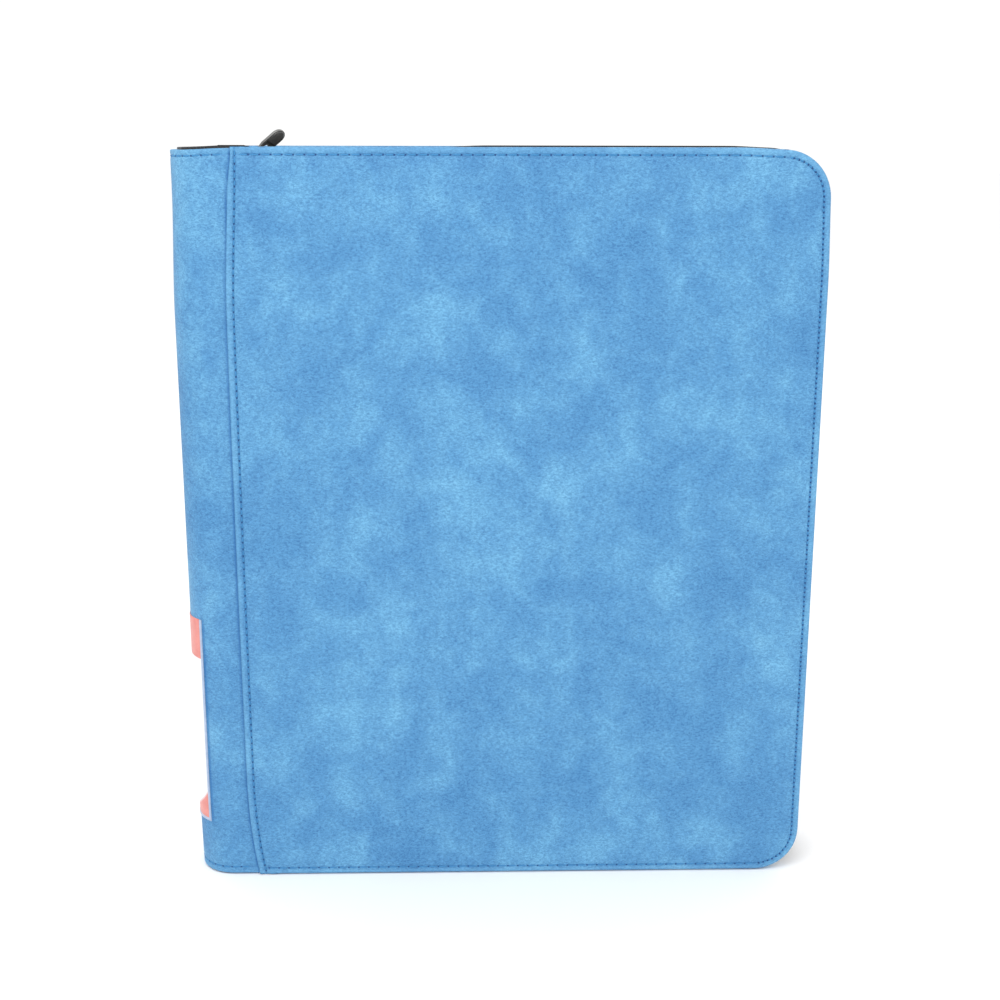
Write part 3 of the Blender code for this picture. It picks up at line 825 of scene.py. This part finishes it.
def walk(line, pitch):
    """Evenly spaced places along a line of points: a place and the direction there."""
    total = sum((b - a).length for a, b in zip(line, line[1:]))
    count = max(1, round(total / pitch))
    gap = total / count
    places, travelled, wanted = [], 0.0, gap / 2
    for a, b in zip(line, line[1:]):
        length = (b - a).length
        while length > 0 and wanted <= travelled + length + 1e-9 and len(places) < count:
            places.append((a.lerp(b, (wanted - travelled) / length), (b - a).normalized()))
            wanted += gap
        travelled += length
    return places


def stitch(points, faces, holes_and_painted_shade, middle, along, out, length):
    """One stitch: a round thread that comes up, arches over and ends wide in a needle hole, painted dark
    there as the hole's shade.
    """
    across = along.cross(out)
    steps, sides = 10, 6
    start = len(points)
    for k in range(steps + 1):
        t = k / steps * 2 - 1
        # Weight of the needle-hole end: it swells and sinks the thread there and paints shade on it.
        hole_and_painted_shade = 1 - smooth(((1 - t) * length / 2 - HOLE_LENGTH) / HOLE_FADE)
        rise = THREAD_RISE * (1 - t * t) - HOLE_SINK * hole_and_painted_shade - THREAD_DIVE * max(0.0, -t) ** 4
        holes_and_painted_shade += [hole_and_painted_shade] * sides
        thick = THREAD_R * (1 + HOLE_SWELL * hole_and_painted_shade)
        centre = middle + along * (t * length / 2) + out * rise
        for m in range(sides):
            angle = 2 * math.pi * m / sides
            points.append(tuple(centre + (across * math.cos(angle) + out * math.sin(angle)) * thick))
    faces += tube_faces(start, steps + 1, sides)


def make_stitches(name, runs, out_of, look):
    """Rows of stitches. A run is a line of points with a pitch; out_of gives the way out of the leather."""
    points, faces, holes_and_painted_shade = [], [], []
    for line, pitch in runs:
        for place, along in walk(line, pitch):
            stitch(points, faces, holes_and_painted_shade, place, along, out_of(place), pitch - STITCH_GAP)
    made = piece(name, points, faces, [look], None, {"hole_and_painted_shade": holes_and_painted_shade})
    return made


def cover_stitches(side, word, body, look):
    out = Vector((0, side, 0))

    def face_point(x, z, inset):
        wx, wz = warp(x, z)
        return Vector((wx, side * (HALF - cover_depth(x, z, inset, 3.0 * side)), wz))

    def edge_line(columns, corners):
        line = []
        for (x, z), (nx, nz) in outline(columns, evenly(HEIGHT - CORNER_R, CORNER_R, 0.006)):
            straight = abs(nz) > 0.999
            if straight != corners:
                line.append((face_point(x + nx * STITCH_INSET, z + nz * STITCH_INSET, STITCH_INSET), z))
        return line

    columns = evenly(X_SEAM + 0.0015, X_FORE - CORNER_R, 0.006)
    straight = edge_line(columns, False)
    top = [place for place, z in straight if z > HEIGHT / 2]
    bottom = [place for place, z in straight if z < HEIGHT / 2]
    round_end = [place for place, _ in edge_line(columns, True)]
    runs = [(top, LONG_PITCH), (round_end, SHORT_PITCH), (bottom, LONG_PITCH)]
    made = make_stitches("edge_stitches_" + word, runs, lambda place: out, look)
    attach(made, body)
    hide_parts("edge_thread_" + word)
    line = [face_point(X_SEAM, z, min(z, HEIGHT - z)) for z in evenly(HEIGHT - 0.0012, 0.0012, 0.002)]
    made = make_stitches("seam_stitches_" + word, [(line, SEAM_PITCH)], lambda place: out, look)
    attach(made, body)
    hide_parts("seam_thread_" + word)


def hem_stitches(side, word, look):
    """Stitches along the strip's two hems, from the cover's fold to the middle of the spine."""

    def out_of(place):
        if place.x > X_ARC:
            return Vector((0, side, 0))
        return Vector((place.x - X_ARC, place.y - side * min(abs(place.y), Y_ARC), 0)).normalized()

    runs = []
    stations = evenly(FOLD + 0.0012, STRIP_RUN / 2, 0.001)
    for z in (STRIP_LOW + STITCH_INSET, STRIP_HIGH - STITCH_INSET + HEM_RISE):
        runs.append(([Vector(strip_place(run, 0.0005, z, side)) for run in stations], LONG_PITCH))
    made = make_stitches("hem_stitches_" + word, runs, out_of, look)
    strip_bend(made, side)
    names = [f"hem_thread_{word}_bottom", f"hem_thread_{word}_top"]
    names += ["hem_thread_spine_bottom", "hem_thread_spine_top"] if side < 0 else []
    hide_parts(*names)


# ---------------------------------------------------------------- zip


def sweep(section, path, place):
    """Points and faces of a closed section of (inset, y) carried along stations."""
    points = [place(station, inset, y) for station in path for inset, y in section]
    return points, tube_faces(0, len(path), len(section))


def at_edge(side):
    def place(station, inset, y):
        (x, z), (nx, nz) = station
        wx, _ = warp(x + nx * inset, z + nz * inset)
        return (wx, side * y, z + nz * inset)
    return place


def thick_line(line, half):
    """Closed section round an open line of (inset, y), which reaches half on each side of it."""
    left, right = [], []
    for k, (u, v) in enumerate(line):
        (pu, pv), (qu, qv) = line[max(0, k - 1)], line[min(len(line) - 1, k + 1)]
        length = math.hypot(qu - pu, qv - pv)
        nu, nv = -(qv - pv) / length, (qu - pu) / length
        left.append((u + nu * half, v + nv * half))
        right.append((u - nu * half, v - nv * half))
    return left + right[::-1]


def tape_line():
    """Middle of the tape: flat on the lining, round a bend and across to the teeth."""
    flat_y = INNER_Y - FRAME_GAP - TAPE_THICK / 2
    bend = 0.0016
    deep = TAPE_RECESS + TAPE_THICK / 2
    line = [(inset, flat_y) for inset in evenly(0.0007, deep - bend, 0.0012)]
    for k in range(1, 7):
        angle = math.pi / 2 * k / 6
        line.append((deep - bend + bend * math.sin(angle), flat_y - bend + bend * math.cos(angle)))
    for y in evenly(flat_y - bend, 0.0010, 0.0011)[1:]:
        rib = 0.00010 * math.sin(y * 2 * math.pi / 0.0022) if y > TAPE_EDGE_Y + 0.001 else 0.0
        line.append((deep + rib, y))
    return line


def make_zip(side, word, body, tape, nylon):
    rows = evenly(HEIGHT - CORNER_R, CORNER_R, 0.004)
    path = outline(evenly(X_SEAM - 0.008, X_FORE - CORNER_R, 0.004), rows)
    points, faces = sweep(thick_line(tape_line(), 0.00026), path, at_edge(side))
    made = piece("zip_tape_cloth_" + word, points, faces, [tape])
    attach(made, body)
    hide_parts("zip_tape_" + word)

    path = outline(evenly(STOP_END + 0.0004, X_FORE - CORNER_R, 0.004), rows)
    depth = TAPE_RECESS + TAPE_THICK / 2
    line = []
    for (x, z), (nx, nz) in path:
        wx, _ = warp(x + nx * depth, z + nz * depth)
        line.append(Vector((wx, 0, z + nz * depth)))
    points, faces = [], []
    for place, along in walk(line, TOOTH_PITCH / 2)[0 if side < 0 else 1::2]:
        tooth(points, faces, place, along, side)
    made = piece("zip_teeth_" + word, points, faces, [nylon], sharp=40.0)
    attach(made, body)
    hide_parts("zip_coil_" + word)


def tooth(points, faces, place, along, side):
    """One tooth: a rounded bar astride the tape's edge with a wider head towards the middle."""
    lift = along.cross(Vector((0, 1, 0)))
    out = Vector((0, side, 0))
    start = len(points)
    sides = 8
    rings = [(0.0032, 0.00020, 0.00030), (0.0031, 0.00030, 0.00052), (0.0014, 0.00028, 0.00056),
             (0.0010, 0.00026, 0.00056), (0.0006, 0.00034, 0.00060), (0.00034, 0.00030, 0.00052),
             (0.00027, 0.00018, 0.00034)]
    for y, half_w, half_t in rings:
        for m in range(sides):
            angle = 2 * math.pi * (m + 0.5) / sides
            wide, thick = [math.copysign(abs(t) ** 0.6, t) for t in (math.cos(angle), math.sin(angle))]
            points.append(tuple(place + out * y + along * (half_w * wide) + lift * (half_t * thick)))
    faces += tube_faces(start, len(rings), sides)


def offset(line, distance):
    """A closed outline moved in by a distance."""
    area = sum(a[0] * b[1] - b[0] * a[1] for a, b in zip(line, line[1:] + line[:1]))
    sign = 1 if area > 0 else -1
    made = []
    for k, (u, v) in enumerate(line):
        (pu, pv), (qu, qv) = line[k - 1], line[(k + 1) % len(line)]
        first = Vector((u - pu, v - pv)).normalized()
        second = Vector((qu - u, qv - v)).normalized()
        normal = Vector((-(first.y + second.y), first.x + second.x)).normalized() * sign
        share = max(0.5, Vector((-first.y, first.x)).dot(normal) * sign)
        made.append((u + normal.x * distance / share, v + normal.y * distance / share))
    return made


def bevelled(line, low, high, edge, place):
    """Points and faces of an outline extruded from low to high with bevelled rims."""
    rings = [(low, edge), (low + edge * 0.3, edge * 0.3), (low + edge, 0.0), (high - edge, 0.0),
             (high - edge * 0.3, edge * 0.3), (high, edge)]
    points = [place(u, v, level) for level, inset in rings for u, v in offset(line, inset)]
    return points, tube_faces(0, len(rings), len(line))


def united(name, shapes, look):
    """One closed solid from several that overlap."""
    names = [f"{name}_{k}" if k else name for k in range(len(shapes))]
    made = [piece(word, points, faces, [look]) for word, (points, faces) in zip(names, shapes)]
    for other in made[1:]:
        modifier = made[0].modifiers.new("union", "BOOLEAN")
        modifier.operation = "UNION"
        modifier.solver = "EXACT"
        modifier.object = other
    graph = bpy.context.evaluated_depsgraph_get()
    mesh = bpy.data.meshes.new_from_object(made[0].evaluated_get(graph))
    made[0].modifiers.clear()
    made[0].data = mesh
    mesh.shade_smooth()
    mesh.set_sharp_from_angle(angle=math.radians(35))
    for other in made[1:]:
        bpy.data.objects.remove(other, do_unlink=True)
    return made[0]


def half_round(start, reach, half, steps):
    """Half an ellipse of (u, v) that bulges from start towards +u, half wide on each side."""
    angles = [math.pi * k / steps - math.pi / 2 for k in range(steps + 1)]
    return [(start + reach * math.cos(angle), half * math.sin(angle)) for angle in angles]


def mirrored(line):
    return [(u, -v) for u, v in reversed(line)]


def make_slider(metal):
    """Slider body: two shield-shaped plates, side flanges, a neck between the teeth and an arched crown."""
    half_l, half_w = 0.006, 0.005
    inner, outer = 0.0011, 0.0021
    flank = [(0.0012, half_w * 0.98), (-0.0026, half_w), (-0.0046, half_w * 0.9), (-half_l, half_w * 0.62)]
    shield = half_round(half_l - 0.0022, 0.0022, 0.0036, 12)
    shield += flank + [(-half_l - 0.0004, 0.0)] + mirrored(flank)

    def flat(u, v, level):
        return (SLIDER_X + u, v, ZIP_Z + level)

    shapes = [bevelled(shield, inner, outer, 0.0003, flat), bevelled(shield, -outer, -inner, 0.0003, flat)]
    for sign in (1, -1):
        rail = ((0.0040, 0.0037), (0.0012, 0.0045), (-0.0030, 0.0046), (-0.0042, 0.0041))
        lip = [(u, sign * (v + 0.00035)) for u, v in rail]
        lip += [(u, sign * (v - 0.00025)) for u, v in reversed(rail)]
        shapes.append(bevelled(lip, inner - 0.0004, inner + 0.0003, 0.00008, flat))
        shapes.append(bevelled(lip, -inner - 0.0003, -inner + 0.0004, 0.00008, flat))
    waist = [(-0.0046, 0.0002), (-0.0030, 0.0002)]
    neck = [(-half_l + 0.0002, 0.0)] + waist + [(-0.0024, 0.0)] + mirrored(waist)
    shapes.append(bevelled(neck, -inner - 0.0002, inner + 0.0002, 0.00004, flat))

    def upright(u, v, level):
        return (SLIDER_X + u, level, ZIP_Z + v)

    top = outer - 0.0002
    arch = [(-0.0045, top)] + [(v, u) for u, v in half_round(PIVOT_RISE + 0.0004, 0.0019, 0.0044, 8)]
    arch += [(0.0045, top), (0.0033, top)]
    arch += [(-v, u) for u, v in half_round(PIVOT_RISE + 0.0002, 0.0011, 0.0032, 8)] + [(-0.0033, top)]
    shapes.append(bevelled(arch, -0.0007, 0.0007, 0.00018, upright))
    made = united("zip_slider_body", shapes, metal)
    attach(made, "zip_slider")
    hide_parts("zip_slider")


def make_pull(metal):
    """Flat tab with a raised panel on each face and an eye whose pin passes under the crown."""
    half_w, length, end_r = 0.0040, 0.0145, 0.0037
    eye, eye_w, outer_w = 0.0050, 0.0015, 0.0023
    leg = [(0.0020, 0.0032), (-0.0005, outer_w), (-0.0005, eye_w)]
    leg += [(eye - 0.0006, eye_w), (eye, eye_w - 0.0006)]
    line = [(0.0044, -half_w)] + half_round(length - end_r, end_r, half_w, 16) + [(0.0044, half_w)]
    line += leg + mirrored(leg)
    lean, twist = math.radians(PULL_LEAN), math.radians(PULL_TWIST)
    pivot = Vector((SLIDER_X, 0.0, ZIP_Z + PIVOT_RISE))

    def tab(along, across, lift):
        wide = across * math.cos(twist) + lift * math.sin(twist)
        high = -across * math.sin(twist) + lift * math.cos(twist)
        forth = along * math.cos(lean) - high * math.sin(lean)
        up = along * math.sin(lean) + high * math.cos(lean)
        return tuple(pivot + Vector((forth, wide, up)))

    def pin_place(u, v, level):
        return tab(u, level, v)

    circle = [(0.0005 * math.cos(math.pi * k / 6), 0.0005 * math.sin(math.pi * k / 6)) for k in range(12)]
    shapes = [bevelled(line, -0.0006, 0.0006, 0.00022, tab)]
    shapes.append(bevelled(circle, -0.0019, 0.0019, 0.00005, pin_place))
    margin = 0.0009
    panel = [(0.0070, -half_w + margin)]
    panel += half_round(length - end_r, end_r - margin, half_w - margin, 12) + [(0.0070, half_w - margin)]
    for low, high in ((0.0005, 0.00075), (-0.00075, -0.0005)):
        shapes.append(bevelled(panel, low, high, 0.0001, tab))
    made = united("zip_pull_tab", shapes, metal)
    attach(made, "zip_pull")
    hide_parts("zip_pull")


def round_off(name, width, look):
    """Keeps a node of the frame, with its edges rounded and a finished material."""
    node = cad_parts[name]
    modifier = node.modifiers.new("soft_edges", "BEVEL")
    modifier.width = width
    modifier.segments = 3
    modifier.limit_method = "ANGLE"
    node.data.materials.clear()
    node.data.materials.append(look)


# ---------------------------------------------------------------- leaves


def leaf_mesh(looks):
    """One nine-pocket leaf lying in the XZ plane: a sheet with weld ribs and a puffed film on each pocket."""
    length = LEAF_HIGH.x - LEAF_LOW.x
    tall = LEAF_HIGH.z - LEAF_LOW.z
    pocket_w, pocket_h, weld, margin = 0.070, 0.095, 0.004, 0.008
    first_x = 0.018

    def across_pocket(start, size, step):
        middle = evenly(start + 0.010, start + size - 0.010, step)
        end = start + size
        return [start - 0.0006, start, start + 0.0008] + middle + [end - 0.0008, end, end + 0.0006]

    xs, zs = [], []
    for k in range(3):
        xs += across_pocket(first_x + k * (pocket_w + weld), pocket_w, 0.010)
        zs += across_pocket(margin + k * (pocket_h + weld), pocket_h, 0.0125)
    xs = [0.0, 0.006, 0.012, 0.015, 0.0162] + xs + [length - 0.004, length - 0.002, length - 0.0008, length]
    zs = [0.0, 0.0008, 0.002, 0.004] + zs + [tall - 0.004, tall - 0.002, tall - 0.0008, tall]

    def pocket(value, first, size):
        """Distance from the nearer rim of a pocket, or None on a weld."""
        for k in range(3):
            start = first + k * (size + weld)
            if start - 1e-7 <= value <= start + size + 1e-7:
                return min(value - start, start + size - value)
        return None

    def half(x, z):
        if x <= 0.015 + 1e-7:
            return 0.00015
        a, b = pocket(x, first_x, pocket_w), pocket(z, margin, pocket_h)
        if a is None or b is None:
            return 0.00022
        return 0.00026 + 0.00013 * smooth(min(a, b) / 0.012)

    def trimmed(x, z):
        """Rounds the leaf's two free corners."""
        cx = length - margin
        cz = margin if z < margin else tall - margin
        if x > cx and (z < margin or z > tall - margin):
            dx, dz = x - cx, z - cz
            reach = max(abs(dx), abs(dz))
            size = math.hypot(dx, dz)
            if size > 0:
                dx, dz = dx / size * reach, dz / size * reach
            return cx + dx, cz + dz
        return x, z

    def face(sign):
        def place(x, z):
            px, pz = trimmed(x, z)
            return (LEAF_LOW.x + px, sign * half(x, z), LEAF_LOW.z + pz)
        return place

    points, faces = slab(xs, zs, face(1), face(-1))
    kinds = []
    for corners in faces:
        x = sum(points[k][0] for k in corners) / len(corners) - LEAF_LOW.x
        z = sum(points[k][2] for k in corners) / len(corners) - LEAF_LOW.z
        film = pocket(x, first_x, pocket_w) is not None and pocket(z, margin, pocket_h) is not None
        kinds.append(1 if film else 0)
    return points, faces, kinds


def make_leaves(looks):
    points, faces, kinds = leaf_mesh(looks)
    for number in range(1, 21):
        name = f"leaf_{number:02d}"
        low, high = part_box(name)
        middle = (low.y + high.y) / 2
        moved = [(x, y + middle, z) for x, y, z in points]
        made = piece(f"pocket_{name}", moved, faces, looks, kinds)
        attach(made, name)
        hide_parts(name)


# ---------------------------------------------------------------- the whole binder

make_camera()
make_stage()
leather = leather_look()
thread = thread_look()
lining = woven_look("black_lining", srgb(14, 14, 16), srgb(40, 40, 44), 900.0)
tape = woven_look("black_zip_tape", srgb(16, 16, 18), srgb(46, 46, 50), 700.0)
binding = woven_look("black_binding", srgb(18, 18, 20), srgb(44, 44, 48), 800.0)
nylon = nylon_look()
metal = metal_look()
edging = {"Roughness": 0.35, "Coat Weight": 0.3, "Coat Roughness": 0.15}
# The label's border is pale partly in its own colour and partly as a painted highlight on its raised ridge.
border = plain_look("label_border_and_highlight", edging, 300.0, 4.0, srgb(142, 162, 190), srgb(166, 182, 206), 0.15)
label = [border, label_look()]
for side, word, body in SIDES:
    make_cover(side, word, body, leather)
    make_lining(side, word, body, lining)
    make_spine(side, word, leather, lining)
    make_label(side, word, label)
    cover_stitches(side, word, body, thread)
    hem_stitches(side, word, thread)
    make_zip(side, word, body, tape, nylon)
make_slider(metal)
make_pull(metal)
backing = plain_look("leaf_backing", {"Roughness": 0.6}, 900.0, 3.0, srgb(22, 22, 25), srgb(36, 36, 40), 0.25)
make_leaves([backing, film_look()])
round_off("leaf_binding", 0.0002, binding)
for name in ("zip_top_stop_front", "zip_top_stop_back", "zip_bottom_stop"):
    round_off(name, 0.0003, metal)
